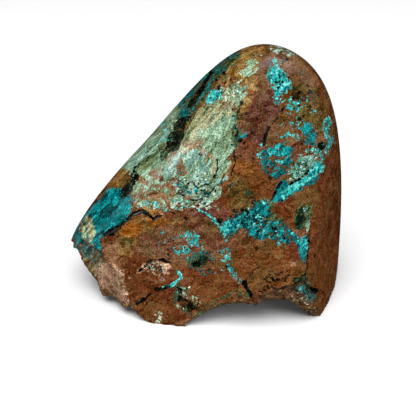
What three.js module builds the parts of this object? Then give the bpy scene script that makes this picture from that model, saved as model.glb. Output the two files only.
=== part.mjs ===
// A shattuckite freeform: one polished stone, about 74 mm wide, 45 mm deep and 69 mm high,
// that stands on its broken base. Millimetres, +Z up. The viewer stands on the -Y side.
import * as THREE from "three";
import { mergeVertices } from "three/addons/utils/BufferGeometryUtils.js";

// The heart is the point inside the stone that every ground face is measured from.
const HEART = new THREE.Vector3(4, 0, 30);

// Moves the finished stone so that the middle of its base is the origin. Every other place
// in this file is given as it is before that move.
const TO_ORIGIN = new THREE.Vector3(-0.27, -0.4, 0);

// The polished faces as the lapidary ground them: the side that each looks to, in degrees
// round the stone from the viewer's side (to the right is positive), its tilt above the
// horizon, and its distance from the heart.
const GROUND_FACES = [
  { name: "front", side: -10, tilt: 16, reach: 13.8 },
  { name: "right front", side: 59, tilt: 6, reach: 28.4 },
  { name: "right", side: 99, tilt: -5, reach: 37.2 },
  { name: "right back", side: 141, tilt: 12, reach: 26 },
  { name: "back", side: 184, tilt: 11, reach: 19.3 },
  { name: "left bevel", side: -69, tilt: 45, reach: 24.2 },
  { name: "left back", side: -123, tilt: 31, reach: 24.3 },
  { name: "left tip", side: -87, tilt: 2, reach: 43.5 },
  { name: "crown", side: 20, tilt: 88, reach: 43.8 },
  { name: "right shoulder", side: 84, tilt: 43, reach: 41.8 },
  { name: "crown back", side: 178, tilt: 51, reach: 38.5 },
  { name: "under", side: 0, tilt: -90, reach: 50 },
  { name: "low back", side: 180, tilt: -35, reach: 33 },
];
const EDGE_SHARPNESS = 8.5; // higher leaves crisper edges between the ground faces
const POLISH_WAVE = { size: 15, height: 0.3 }; // the slight unevenness of work by hand

// The breaks that were never ground. Each took away what lies beyond all of its planes.
// A plane is given by the side and tilt that it looks to, and by a point on it.
const BREAKS = [
  {
    name: "left underside",
    planes: [{ side: -100, tilt: -37, at: [-29.9, -7, 5] }],
  },
  {
    name: "lower left",
    planes: [
      { side: -40, tilt: 5, at: [-22.5, -15.5, 10.8] },
      { side: -60, tilt: -42, at: [-28, -12.8, 16.5] },
    ],
  },
  {
    name: "right strip",
    planes: [{ side: 8, tilt: -15, at: [20, -22, 13.8] }],
  },
];
const BREAK_ROUGHNESS = 0.6; // the share of the full relief that shows on these breaks

// The broken base: its height over the table, the arch at the front and the three feet.
// The arch starts at a share of its rise on the left and has all of it from fullX on.
const BASE_HEIGHT = 2.6;
const ARCH = { from: -2.5, to: 26, rise: 6, edge: 1.5, frontY: -20, depth: 15, startShare: 0.72, fullX: 14 };
const FEET = [
  { name: "front left", x: -11, y: -17, rx: 7, ry: 8, drop: 5 },
  { name: "front right", x: 29.5, y: -13, rx: 4.5, ry: 8, drop: 7 },
  { name: "back", x: 8, y: 15, rx: 14, ry: 6, drop: 5 },
];

// Hollows in the skin: the middle, the half sizes across and up, and the depth.
const VUGS = [
  { name: "sugary vug", at: [-13.5, -18.5, 13], across: 3.4, up: 1.6, depth: 1.5 },
  { name: "dark hole", at: [27.2, -20.5, 10.2], across: 2.6, up: 2, depth: 3 },
];

// The hackly relief of broken rock: each octave's size across and its height.
const RELIEF = [
  { size: 11, height: 1.3 },
  { size: 5.5, height: 0.8 },
  { size: 2.7, height: 0.45 },
];
const MEAN_CREASE = 0.7; // keeps the relief level about the plane that it lies on
const OCTAVE_SHIFT = 17.3; // so that the octaves don't line up
const HASH = { x: 127.1, y: 311.7, z: 74.7, spread: 43758.5453 }; // large, with no common measure

const CELLS = 26; // cells along each edge of the cube that the skin starts from
const SEARCH_STEPS = 18;
const HALVINGS = 14;

// The unit vector that looks to a side and a tilt, in degrees.
function facing({ side, tilt }) {
  const a = THREE.MathUtils.degToRad(side);
  const t = THREE.MathUtils.degToRad(tilt);
  return new THREE.Vector3(Math.sin(a) * Math.cos(t), -Math.cos(a) * Math.cos(t), Math.sin(t));
}

const groundFaces = GROUND_FACES.map((face) => ({ normal: facing(face), reach: face.reach }));
const breaks = BREAKS.map(({ planes }) =>
  planes.map((plane) => {
    const at = new THREE.Vector3(...plane.at);
    return new THREE.Plane().setFromNormalAndCoplanarPoint(facing(plane), at);
  }),
);

// A number from 0 to 1 that belongs to one corner of a grid.
function cornerValue(i, j, k) {
  const s = Math.sin(i * HASH.x + j * HASH.y + k * HASH.z) * HASH.spread;
  return s - Math.floor(s);
}

// Smooth noise from -1 to 1.
function noise(x, y, z) {
  const [i, j, k] = [Math.floor(x), Math.floor(y), Math.floor(z)];
  const [u, v, w] = [x - i, y - j, z - k].map((f) => f * f * (3 - 2 * f));
  const lerp = THREE.MathUtils.lerp;
  const row = (dj, dk) => lerp(cornerValue(i, j + dj, k + dk), cornerValue(i + 1, j + dj, k + dk), u);
  return 2 * lerp(lerp(row(0, 0), row(1, 0), v), lerp(row(0, 1), row(1, 1), v), w) - 1;
}

// How far the broken rock falls short of its mean face at a point.
function relief(p) {
  let sum = 0;
  RELIEF.forEach(({ size, height }, octave) => {
    const shift = OCTAVE_SHIFT * octave;
    const n = noise(p.x / size + shift, p.y / size + shift, p.z / size - shift);
    sum += height * (2 * Math.abs(n) - MEAN_CREASE);
  });
  return sum;
}

const step = (v, at, soft) => 1 / (1 + Math.exp(-(v - at) / soft));

// The mean height of the broken base over the table.
function baseHeight(p) {
  const along = step(p.x, ARCH.from, ARCH.edge) * step(-p.x, -ARCH.to, ARCH.edge);
  const inward = Math.exp(-((Math.max(0, p.y - ARCH.frontY) / ARCH.depth) ** 2));
  const climb = THREE.MathUtils.lerp(ARCH.startShare, 1, THREE.MathUtils.clamp(p.x / ARCH.fullX, 0, 1));
  const mound = (f) => Math.exp(-(((p.x - f.x) / f.rx) ** 2) - ((p.y - f.y) / f.ry) ** 2);
  const feet = FEET.reduce((sum, f) => sum + f.drop * mound(f), 0);
  return BASE_HEIGHT + ARCH.rise * along * inward * climb - feet;
}

// How far a point lies outside the broken faces; under zero is inside the stone.
function beyondBreaks(p, rough) {
  let most = baseHeight(p) + rough - p.z;
  for (const planes of breaks) {
    const beyond = Math.min(...planes.map((plane) => plane.distanceToPoint(p)));
    most = Math.max(most, beyond + BREAK_ROUGHNESS * rough);
  }
  return most;
}

// How far the polished skin lies from the heart in a direction.
function polishedReach(d) {
  let sum = 0;
  for (const { normal, reach } of groundFaces) {
    sum += (Math.max(0, d.dot(normal)) / reach) ** EDGE_SHARPNESS;
  }
  const even = sum ** (-1 / EDGE_SHARPNESS);
  const p = outAlong(d, even).divideScalar(POLISH_WAVE.size);
  return even + POLISH_WAVE.height * noise(p.x, p.y, p.z);
}

function outAlong(direction, distance) {
  return direction.clone().multiplyScalar(distance).add(HEART);
}

// The first distance in a direction at which a broken face cuts the stone.
function brokenReach(d, limit, rough) {
  let near = 0;
  for (let i = 1; i <= SEARCH_STEPS; i++) {
    let far = (limit * i) / SEARCH_STEPS;
    if (beyondBreaks(outAlong(d, far), rough) > 0) {
      for (let n = 0; n < HALVINGS; n++) {
        const middle = (near + far) / 2;
        if (beyondBreaks(outAlong(d, middle), rough) > 0) far = middle;
        else near = middle;
      }
      return far;
    }
    near = far;
  }
  return limit;
}

// How deep a hollow lies under the skin at a point.
function hollow(p) {
  let deepest = 0;
  for (const { at, across, up, depth } of VUGS) {
    const [x, y, z] = at;
    const away = ((p.x - x) / across) ** 2 + ((p.y - y) / across) ** 2 + ((p.z - z) / up) ** 2;
    deepest = Math.max(deepest, depth * Math.max(0, 1 - away));
  }
  return deepest;
}

// How far the stone reaches from its heart in a direction.
function stoneReach(d) {
  const skin = polishedReach(d);
  const meanBreak = brokenReach(d, skin, 0);
  const distance = brokenReach(d, skin, relief(outAlong(d, meanBreak)));
  const carved = distance - hollow(outAlong(d, distance));
  const toTable = d.z < 0 ? HEART.z / -d.z : Infinity; // the feet are worn flat
  return Math.min(carved, toTable);
}

// Splits each square cell along the diagonal that stands further out, which keeps edges crisp.
function splitCellsOutward(geometry) {
  const place = geometry.getAttribute("position");
  const index = geometry.getIndex();
  const point = (n) => new THREE.Vector3().fromBufferAttribute(place, n).sub(HEART);
  const middle = (m, n) => point(m).add(point(n)).length();
  for (let i = 0; i < index.count; i += 6) {
    const [a, b, d, c] = [index.getX(i), index.getX(i + 1), index.getX(i + 2), index.getX(i + 4)];
    if (middle(a, c) > middle(b, d)) {
      [a, b, c, a, c, d].forEach((n, k) => index.setX(i + k, n));
    }
  }
}

function stoneGeometry() {
  const cube = new THREE.BoxGeometry(2, 2, 2, CELLS, CELLS, CELLS);
  cube.deleteAttribute("normal");
  cube.deleteAttribute("uv");
  const skin = mergeVertices(cube);
  const place = skin.getAttribute("position");
  const even = (v) => Math.tan((v * Math.PI) / 4); // keeps the cells alike in angle
  for (let i = 0; i < place.count; i++) {
    const corner = [place.getX(i), place.getY(i), place.getZ(i)].map(even);
    const d = new THREE.Vector3(...corner).normalize();
    const p = outAlong(d, stoneReach(d));
    place.setXYZ(i, p.x, p.y, p.z);
  }
  splitCellsOutward(skin);
  skin.translate(TO_ORIGIN.x, TO_ORIGIN.y, TO_ORIGIN.z);
  skin.computeVertexNormals();
  return skin;
}

function polishedStone() {
  return new THREE.MeshStandardMaterial({ color: 0x8a5a3c, roughness: 0.3, metalness: 0 });
}

const stone = new THREE.Mesh(stoneGeometry(), polishedStone());
stone.name = "stone";

const freeform = new THREE.Group();
freeform.add(stone);

export default freeform;
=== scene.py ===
import math

import bpy
import numpy as np
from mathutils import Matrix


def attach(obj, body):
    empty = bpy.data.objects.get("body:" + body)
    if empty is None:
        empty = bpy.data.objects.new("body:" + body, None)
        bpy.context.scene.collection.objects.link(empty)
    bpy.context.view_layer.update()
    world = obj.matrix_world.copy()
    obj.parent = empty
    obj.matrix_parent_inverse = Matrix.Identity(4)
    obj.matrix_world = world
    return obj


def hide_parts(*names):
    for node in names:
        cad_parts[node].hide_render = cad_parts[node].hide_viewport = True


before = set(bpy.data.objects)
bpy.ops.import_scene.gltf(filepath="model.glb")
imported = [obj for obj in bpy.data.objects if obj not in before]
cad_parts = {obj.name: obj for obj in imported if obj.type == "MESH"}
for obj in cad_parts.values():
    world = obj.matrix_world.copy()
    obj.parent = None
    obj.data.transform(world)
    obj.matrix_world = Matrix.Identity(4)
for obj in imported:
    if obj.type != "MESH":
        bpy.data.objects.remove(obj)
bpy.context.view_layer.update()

# A shattuckite freeform: one polished stone that stands on its broken base. The shape is worked
# out in millimetres from the same values as the solid, with a much finer skin.

MM = 0.001

# The camera, placed by a fit to the photograph. Millimetres and degrees.
PHOTO_SIZE = 416
FOCAL_PX = 731.0
CAMERA_BACK = 169.0
CAMERA_UP = 130.1
CAMERA_DOWN = 32.14
SENSOR_MM = 36.0

# The stone's shape. Places are given before the move that puts the origin under the stone.
HEART = np.array([4.0, 0.0, 30.0])
TO_ORIGIN = np.array([-0.27, -0.4, 0.0])

# Ground faces: name, side, tilt and distance from the heart, as in the solid. Most of these
# numbers are the rounded results of a fit to the photograph's outline, and some distances were
# altered afterwards.
GROUND_FACES = [
    ("front", -10, 16, 13.8),
    ("right front", 59, 6, 28.4),
    ("right", 99, -5, 37.2),
    ("right back", 141, 12, 26.0),
    ("back", 184, 11, 19.3),
    ("left bevel", -69, 45, 24.2),
    ("left back", -123, 31, 24.3),
    ("left tip", -87, 2, 43.5),
    ("crown", 20, 88, 43.8),
    ("right shoulder", 84, 43, 41.8),
    ("crown back", 178, 51, 38.5),
    ("under", 0, -90, 50.0),
    ("low back", 180, -35, 33.0),
]
EDGE_SHARPNESS = 8.5
POLISH_WAVE_SIZE = 15.0
POLISH_WAVE_HEIGHT = 0.3

# Breaks: each took away what lies beyond all of its planes. A plane is side, tilt and a point.
BREAKS = [
    ("left underside", [(-100, -37, (-29.9, -7, 5))]),
    ("lower left", [(-40, 5, (-22.5, -15.5, 10.8)), (-60, -42, (-28, -12.8, 16.5))]),
    ("right strip", [(8, -15, (20, -22, 13.8))]),
]
BREAK_ROUGHNESS = 0.6

BASE_HEIGHT = 2.6
ARCH_FROM, ARCH_TO, ARCH_EDGE = -2.5, 26.0, 1.5
ARCH_RISE, ARCH_START_SHARE, ARCH_FULL_X = 6.0, 0.72, 14.0
ARCH_FRONT_Y, ARCH_DEPTH = -20.0, 15.0
# Feet: name, x, y, half sizes and drop.
FEET = [
    ("front left", -11, -17, 7, 8, 5),
    ("front right", 29.5, -13, 4.5, 8, 7),
    ("back", 8, 15, 14, 6, 5),
]
# Hollows: name, middle, half size across, half size up and depth.
VUGS = [
    ("sugary vug", (-13.5, -18.5, 13.0), 3.4, 1.6, 1.5),
    ("dark hole", (27.2, -20.5, 10.2), 2.6, 2.0, 3.0),
]
# Relief of the broken rock: size across and height of each octave. The fine ones are too small
# for the solid and only show here.
RELIEF = [(11.0, 1.3), (5.5, 0.8), (2.7, 0.45)]
FINE_RELIEF = [(1.5, 0.3), (0.8, 0.18)]
MEAN_CREASE = 0.7
OCTAVE_SHIFT = 17.3
HASH_X, HASH_Y, HASH_Z, HASH_SPREAD = 127.1, 311.7, 74.7, 43758.5453

CELLS = 128
SEARCH_STEPS = 18
HALVINGS = 14
MAP_MARGIN = 0.02  # the share of each map square that stays free at its sides

# How the fine skin meets the breaks. Lengths are in millimetres.
HIGHEST_BREAK = 0.2  # no break is looked for in directions that point further up than this
FINE_FROM = 0.4  # the depth of a break from which it has all of its fine relief
FINE_SINK = 0.15  # sinks the fine relief, which keeps it within the solid
BROKEN_FROM = 0.3  # the depth from which the skin counts as broken
PITTED_FROM = 0.5  # the depth from which a hollow counts as pitted


def facing(side, tilt):
    """The unit vector that looks to a side and a tilt, in degrees."""
    a = math.radians(side)
    t = math.radians(tilt)
    return np.array([math.sin(a) * math.cos(t), -math.cos(a) * math.cos(t), math.sin(t)])


def corner_value(i, j, k):
    s = np.sin(i * HASH_X + j * HASH_Y + k * HASH_Z) * HASH_SPREAD
    return s - np.floor(s)


def noise(p):
    """Smooth noise from -1 to 1 at each point."""
    cell = np.floor(p)
    f = p - cell
    f = f * f * (3 - 2 * f)
    i, j, k = cell.T
    u, v, w = f.T

    def row(dj, dk):
        a = corner_value(i, j + dj, k + dk)
        b = corner_value(i + 1, j + dj, k + dk)
        return a + (b - a) * u

    near = row(0, 0) + (row(1, 0) - row(0, 0)) * v
    far = row(0, 1) + (row(1, 1) - row(0, 1)) * v
    return 2 * (near + (far - near) * w) - 1


def creased(p, octaves, first=0):
    """The hackly relief of broken rock."""
    total = np.zeros(len(p))
    for n, (size, height) in enumerate(octaves):
        shift = OCTAVE_SHIFT * (n + first) * np.array([1, 1, -1])
        total += height * (2 * np.abs(noise(p / size + shift)) - MEAN_CREASE)
    return total


def step(v, at, soft):
    return 1 / (1 + np.exp(-(v - at) / soft))


def base_height(p):
    """The mean height of the broken base over the table."""
    x, y = p[:, 0], p[:, 1]
    along = step(x, ARCH_FROM, ARCH_EDGE) * step(-x, -ARCH_TO, ARCH_EDGE)
    inward = np.exp(-((np.maximum(0, y - ARCH_FRONT_Y) / ARCH_DEPTH) ** 2))
    climb = ARCH_START_SHARE + (1 - ARCH_START_SHARE) * np.clip(x / ARCH_FULL_X, 0, 1)
    height = BASE_HEIGHT + ARCH_RISE * along * inward * climb
    for _, fx, fy, rx, ry, drop in FEET:
        height = height - drop * np.exp(-(((x - fx) / rx) ** 2) - ((y - fy) / ry) ** 2)
    return height


def beyond_breaks(p, rough):
    """How far each point lies outside the broken faces."""
    most = base_height(p) + rough - p[:, 2]
    for _, planes in BREAKS:
        beyond = np.full(len(p), np.inf)
        for side, tilt, at in planes:
            beyond = np.minimum(beyond, (p - np.array(at)) @ facing(side, tilt))
        most = np.maximum(most, beyond + BREAK_ROUGHNESS * rough)
    return most


def polished_reach(d):
    total = np.zeros(len(d))
    for _, side, tilt, reach in GROUND_FACES:
        total += (np.maximum(0, d @ facing(side, tilt)) / reach) ** EDGE_SHARPNESS
    even = total ** (-1 / EDGE_SHARPNESS)
    p = (HEART + even[:, None] * d) / POLISH_WAVE_SIZE
    return even + POLISH_WAVE_HEIGHT * noise(p)


def broken_reach(d, limit, rough):
    """The first distance in each direction at which a broken face cuts the stone."""
    near = np.zeros(len(d))
    far = limit.copy()
    found = np.zeros(len(d), bool)
    for i in range(1, SEARCH_STEPS + 1):
        t = limit * i / SEARCH_STEPS
        hit = ~found & (beyond_breaks(HEART + t[:, None] * d, rough) > 0)
        near = np.where(hit, limit * (i - 1) / SEARCH_STEPS, near)
        far = np.where(hit, t, far)
        found |= hit
    for _ in range(HALVINGS):
        middle = (near + far) / 2
        out = beyond_breaks(HEART + middle[:, None] * d, rough) > 0
        far = np.where(found & out, middle, far)
        near = np.where(found & ~out, middle, near)
    return far


def hollow(p):
    deepest = np.zeros(len(p))
    for _, at, across, up, depth in VUGS:
        away = (((p - np.array(at)) / np.array([across, across, up])) ** 2).sum(1)
        deepest = np.maximum(deepest, depth * np.maximum(0, 1 - away))
    return deepest


def stone_skin(d):
    """The points of the skin in each direction, and from 0 to 1 how broken and how pitted it is."""
    skin = polished_reach(d)
    low = np.where(d[:, 2] < HIGHEST_BREAK)[0]
    reach = skin.copy()
    dl, limit = d[low], skin[low]
    mean = broken_reach(dl, limit, np.zeros(len(low)))
    at = HEART + mean[:, None] * dl
    coarse = broken_reach(dl, limit, creased(at, RELIEF))
    reach[low] = coarse
    depth = skin - reach
    # fine relief only where the rock is broken, and fading in from the polished edge
    broken = np.clip(depth / FINE_FROM, 0, 1)
    reach = reach - broken * (creased(HEART + reach[:, None] * d, FINE_RELIEF, len(RELIEF)) + FINE_SINK)
    pit = hollow(HEART + reach[:, None] * d)
    reach = reach - pit
    with np.errstate(divide="ignore"):
        table = np.where(d[:, 2] < 0, -HEART[2] / d[:, 2], np.inf)
    reach = np.minimum(reach, table)
    place = HEART + reach[:, None] * d
    return place, np.clip(depth / BROKEN_FROM, 0, 1), np.clip(pit / PITTED_FROM, 0, 1)


def cube_lattice(n):
    """The points of a cube's surface as whole numbers, its square cells, and each cell's map."""
    corners = []
    maps = []
    for face in range(6):
        axis, top = divmod(face, 2)
        a, b = np.meshgrid(np.arange(n), np.arange(n), indexing="ij")
        a, b = a.ravel(), b.ravel()
        ring = [(0, 0), (1, 0), (1, 1), (0, 1)]
        if (axis != 1) != bool(top):
            ring = ring[::-1]
        for da, db in ring:
            point = np.zeros((len(a), 3), int)
            others = [k for k in range(3) if k != axis]
            point[:, axis] = n * top
            point[:, others[0]] = a + da
            point[:, others[1]] = b + db
            corners.append(point)
            col, line = face % 3, face // 3
            u = (col + MAP_MARGIN + (1 - 2 * MAP_MARGIN) * (a + da) / n) / 3
            v = (line + MAP_MARGIN + (1 - 2 * MAP_MARGIN) * (b + db) / n) / 2
            maps.append(np.stack([u, v], 1))
    cells = n * n
    corners = np.array(corners).reshape(6, 4, cells, 3).transpose(0, 2, 1, 3)
    maps = np.array(maps).reshape(6, 4, cells, 2).transpose(0, 2, 1, 3)
    flat = corners.reshape(-1, 3)
    key = (flat[:, 0] * (n + 1) + flat[:, 1]) * (n + 1) + flat[:, 2]
    _, first, back = np.unique(key, return_index=True, return_inverse=True)
    return flat[first], back.reshape(-1, 4), maps.reshape(-1, 4, 2)


def split_outward(points, quads, maps):
    """Splits each cell along the diagonal that stands further out, which keeps edges crisp."""
    q = points[quads] - HEART
    ac = np.linalg.norm(q[:, 0] + q[:, 2], axis=1)
    bd = np.linalg.norm(q[:, 1] + q[:, 3], axis=1)
    first = np.where((ac > bd)[:, None], [0, 1, 2], [0, 1, 3])
    second = np.where((ac > bd)[:, None], [0, 2, 3], [1, 2, 3])
    rows = np.arange(len(quads))[:, None]
    order = np.concatenate([first, second])
    rows = np.concatenate([rows, rows])
    return quads[rows, order], maps[rows, order]


lattice, quads, cell_maps = cube_lattice(CELLS)
directions = np.tan((2 * lattice / CELLS - 1) * math.pi / 4)
directions /= np.linalg.norm(directions, axis=1, keepdims=True)
points, broken, pitted = stone_skin(directions)
triangles, corner_maps = split_outward(points, quads, cell_maps)

corners = points[triangles]
turned = np.cross(corners[:, 1] - corners[:, 0], corners[:, 2] - corners[:, 0])
inward = np.einsum("ij,ij->i", turned, corners.mean(1) - HEART) < 0
triangles[inward] = triangles[inward][:, ::-1]
corner_maps[inward] = corner_maps[inward][:, ::-1]
turned[inward] *= -1
normals = np.zeros_like(points)
for n in range(3):
    np.add.at(normals, triangles[:, n], turned)
normals /= np.linalg.norm(normals, axis=1, keepdims=True)

# The mineral markings. Those that the camera sees are placed by pixels of its own view, which
# are carried onto the stone, and the rest by millimetres on the stone.
EYE = np.array([0.0, -CAMERA_BACK, CAMERA_UP])


def to_pixels(p):
    """Where points fall in the camera's view."""
    tilt = math.radians(CAMERA_DOWN)
    rel = p - EYE
    deep = rel[:, 1] * math.cos(tilt) - rel[:, 2] * math.sin(tilt)
    down = -rel[:, 2] * math.cos(tilt) - rel[:, 1] * math.sin(tilt)
    middle = PHOTO_SIZE / 2
    return np.stack([middle + FOCAL_PX * rel[:, 0] / deep, middle + FOCAL_PX * down / deep], 1)


EDGE_PX = 6.0  # the distance over which a marking's field goes from its edge to its full value
PX_MM = 0.27  # the size of a pixel of the view on the stone
WANDER = [(2.6, 1.5), (1.1, 0.7)]  # how the edges of markings wander: size in mm and pixels
WANDER_SHIFT = 31.7  # so that the wanderings don't line up

KINDS = [
    "russet", "tan", "brick", "maroon", "ochre", "olive", "sage", "cream", "bluegrey",
    "rust", "orange", "pink", "darkgreen", "teal", "turquoise", "white", "black",
]
pixels = to_pixels(points)
for n, (size, reach) in enumerate(WANDER):
    for axis in range(2):
        pixels[:, axis] += reach * noise(points / size + WANDER_SHIFT * (2 * n + axis + 1))
fields = {kind: np.full(len(points), -1.0) for kind in KINDS + ["cut"]}
CUT_LEVEL = 0.55  # black streaks above this level are also cut into the stone
# How much more steeply than others these kinds' fields rise, which keeps thin marks whole.
STEEPER = {"black": 2.2, "turquoise": 1.3, "teal": 1.5}


def lay(kind, where, inside, level):
    """Adds a marking to its kind's field. inside is in pixels, over 0 within the marking."""
    value = np.minimum(np.clip(inside * STEEPER.get(kind, 1.0) / EDGE_PX, -1, 1), level)
    fields[kind][where] = np.maximum(fields[kind][where], value)


def near_pixels(outline, margin):
    low = outline.min(0) - margin
    high = outline.max(0) + margin
    return np.where(((pixels > low) & (pixels < high)).all(1))[0]


def segment_distance(p, a, b):
    ab = b - a
    t = np.clip(((p - a) @ ab) / (ab @ ab), 0, 1)
    return np.linalg.norm(p - a - t[:, None] * ab, axis=1), t


def patch(kind, name, outline, level=1.0, bold=1.0):
    """An area of a mineral inside an outline. A bold one keeps closer to it."""
    outline = np.array(outline, float)
    where = near_pixels(outline, EDGE_PX)
    p = pixels[where]
    away = np.full(len(p), np.inf)
    inside = np.zeros(len(p), bool)
    for a, b in zip(outline, np.roll(outline, -1, axis=0)):
        away = np.minimum(away, segment_distance(p, a, b)[0])
        crosses = (a[1] > p[:, 1]) != (b[1] > p[:, 1])
        if a[1] != b[1]:
            x = a[0] + (p[:, 1] - a[1]) / (b[1] - a[1]) * (b[0] - a[0])
            inside ^= crosses & (p[:, 0] < x)
    lay(kind, where, np.where(inside, away, -away) * bold, level)


def streak(kind, name, path, width, level=1.0, end=None, bold=1.0):
    """A line of a mineral along a path, which may change width towards its end. A bold one is whole."""
    path = np.array(path, float)
    end = width if end is None else end
    where = near_pixels(path, EDGE_PX + max(width, end))
    p = pixels[where]
    best = np.full(len(p), -np.inf)
    last = len(path) - 1
    for n in range(last):
        away, t = segment_distance(p, path[n], path[n + 1])
        half = (width + (end - width) * (n + t) / last) / 2
        best = np.maximum(best, half - away)
    best = best * bold
    lay(kind, where, best, level)
    if kind == "black" and level > CUT_LEVEL:
        lay("cut", where, best, level)


def spot(kind, name, at, across, up=None, level=1.0):
    """A rounded spot."""
    up = across if up is None else up
    at = np.array(at, float)
    size = np.array([across, up], float)
    where = near_pixels(at[None], EDGE_PX + max(size))
    away = np.linalg.norm((pixels[where] - at) / size, axis=1)
    lay(kind, where, (1 - away) * min(size), level)


SPECK_SPREAD = 0.5
FLATTEST_SPECK, TALLEST_SPECK = 0.6, 1.1


def specks(kind, name, at, spread, count, smallest, largest, seed, level=1.0):
    """Scattered small spots round a middle."""
    draw = np.random.default_rng(seed)
    for _ in range(count):
        place = np.array(at) + np.array(spread) * draw.normal(0, SPECK_SPREAD, 2)
        size = draw.uniform(smallest, largest)
        height = size * draw.uniform(FLATTEST_SPECK, TALLEST_SPECK)
        spot(kind, name, place, size, height, level)


# Brown host rock and its fragments.
patch("russet", "right band", [(309, 190), (322, 150), (336, 120), (350, 150), (350, 260), (342, 290),
    (324, 318), (310, 300), (306, 264), (308, 235)])
patch("russet", "russet fragment", [(270, 208), (282, 199), (309, 189), (311, 208), (297, 210), (295, 227),
    (290, 229), (276, 223), (270, 216)])
patch("russet", "lower left brown", [(121, 264), (140, 256), (175, 262), (215, 268), (226, 285), (205, 308),
    (185, 318), (165, 326), (140, 318), (127, 303), (123, 281)])
patch("tan", "orange tan fragment", [(232, 256), (242, 248), (263, 246), (286, 244), (295, 252), (306, 265),
    (305, 283), (280, 292), (261, 294), (251, 292), (244, 281), (236, 273)])
patch("tan", "orange brown fragment", [(186, 288), (209, 277), (223, 273), (242, 283), (232, 292),
    (219, 302), (202, 302), (190, 296)])
patch("tan", "low part of the band", [(309, 262), (322, 248), (344, 246), (344, 290), (324, 320),
    (308, 300)], 0.3)
patch("tan", "low front patch", [(140, 303), (156, 299), (172, 308), (176, 320), (158, 322), (145, 315)],
    0.3)
patch("brick", "brick banding", [(135, 240), (150, 228), (180, 221), (205, 220), (222, 233), (226, 252),
    (205, 264), (180, 262), (150, 256), (133, 252)])
patch("brick", "upper brick", [(263, 56), (274, 52), (296, 56), (312, 70), (318, 84), (300, 84), (285, 74),
    (272, 78), (274, 93), (276, 112), (284, 126), (300, 150), (292, 160), (262, 148), (249, 160),
    (238, 160), (234, 146), (240, 126), (247, 110), (253, 93), (259, 82), (255, 70)])
patch("maroon", "maroon core", [(262, 92), (274, 90), (278, 104), (282, 116), (270, 127), (262, 146),
    (249, 138), (243, 128), (248, 110), (256, 98)])
patch("maroon", "maroon streak", [(190, 206), (215, 202), (233, 208), (232, 220), (214, 225), (200, 220),
    (188, 213)])
patch("maroon", "plum under the fragment", [(280, 243), (296, 245), (304, 258), (300, 262), (288, 254)],
    0.4)
patch("ochre", "ochre top", [(217, 76), (230, 60), (246, 48), (262, 46), (262, 56), (254, 70), (240, 82),
    (226, 90)])
patch("ochre", "ochre shoulder", [(226, 90), (242, 80), (254, 72), (258, 84), (250, 100), (240, 122),
    (234, 112), (244, 96), (240, 84)], 0.5)
patch("ochre", "ochre yellow zone", [(117, 236), (125, 225), (137, 216), (163, 218), (180, 221), (156, 226),
    (142, 234), (135, 243), (130, 256), (116, 254)])
patch("ochre", "limb patch", [(110, 176), (119, 166), (127, 172), (122, 186), (114, 194), (108, 188)])
patch("ochre", "small tan wedge", [(143, 207), (157, 211), (155, 218), (147, 214)])
spot("orange", "orange spot", (130, 231), 9, 7)
streak("orange", "orange of the ochre", [(140, 226), (152, 222), (164, 222)], 5, -0.05)
streak("orange", "red top of the fragment", [(226, 174), (238, 166), (252, 170)], 8, -0.1)
patch("olive", "upper right olive", [(282, 88), (300, 84), (318, 90), (330, 112), (334, 136), (318, 132),
    (300, 118), (288, 108)], 0.55)
patch("tan", "orange fragment", [(220, 178), (231, 162), (238, 158), (249, 165), (263, 172), (270, 183),
    (273, 195), (261, 203), (250, 211), (237, 214), (224, 209)])
patch("olive", "olive of the orange fragment", [(229, 184), (238, 178), (247, 186), (252, 198), (250, 208),
    (238, 213), (226, 207)], 0.25)
patch("olive", "olive of the tan fragment", [(246, 250), (262, 247), (286, 247), (290, 256), (268, 258)],
    0.02)
spot("olive", "dark olive star", (125, 243), 8, 7)
patch("olive", "brown under the limb patch", [(112, 192), (124, 178), (136, 180), (130, 194)], 0.6)

# Sage green and its pale, grey and cream parts.
patch("sage", "sage field", [(203, 106), (219, 93), (242, 82), (246, 93), (236, 110), (239, 126),
    (236, 137), (232, 149), (230, 164), (222, 180), (220, 193), (209, 201), (182, 205), (167, 203),
    (150, 208), (140, 203), (131, 195), (133, 183), (142, 168), (162, 161), (174, 151), (184, 136),
    (192, 120)])
patch("sage", "green limb", [(186, 99), (178, 128), (168, 149), (157, 164), (138, 177), (124, 168),
    (118, 158), (146, 132), (167, 108)])
patch("sage", "green below the dark band", [(170, 147), (177, 157), (162, 170), (147, 180), (137, 187),
    (133, 176), (146, 164), (158, 156)])
patch("sage", "green near the top", [(242, 74), (248, 60), (258, 56), (256, 68), (250, 78)], 0.6)
patch("cream", "cream green field", [(190, 122), (203, 106), (219, 98), (232, 98), (238, 108), (226, 118),
    (206, 128), (194, 132)], 0.45)
patch("cream", "cream spot", [(180, 150), (186, 138), (198, 134), (206, 142), (196, 150), (186, 155)], 0.4)
patch("bluegrey", "blue grey field", [(163, 160), (178, 155), (196, 150), (206, 154), (208, 170),
    (203, 186), (196, 194), (180, 191), (168, 179), (163, 168)], 1.0, 1.6)
patch("bluegrey", "pale green of the knot", [(291, 180), (292, 168), (300, 158), (311, 154), (313, 162),
    (306, 174), (298, 184)], 1.0, 2.0)
patch("bluegrey", "crackle", [(176, 181), (195, 176), (215, 183), (223, 178), (221, 195), (206, 204),
    (190, 201), (178, 193)], 0.5)
patch("olive", "ground of the dark band", [(236, 56), (222, 74), (208, 92), (198, 110), (190, 130),
    (178, 148), (166, 164), (150, 182), (132, 198), (116, 196), (124, 176), (146, 158), (162, 140),
    (172, 122), (182, 100), (200, 80), (218, 62)], 0.7)
patch("rust", "rust between the greens", [(150, 176), (158, 168), (166, 176), (174, 184), (170, 192),
    (158, 190)], -0.05)
spot("rust", "orange island", (180, 163), 3.5, 7)
spot("rust", "upper orange island", (173, 156), 5, 3, 0.6)
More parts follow.
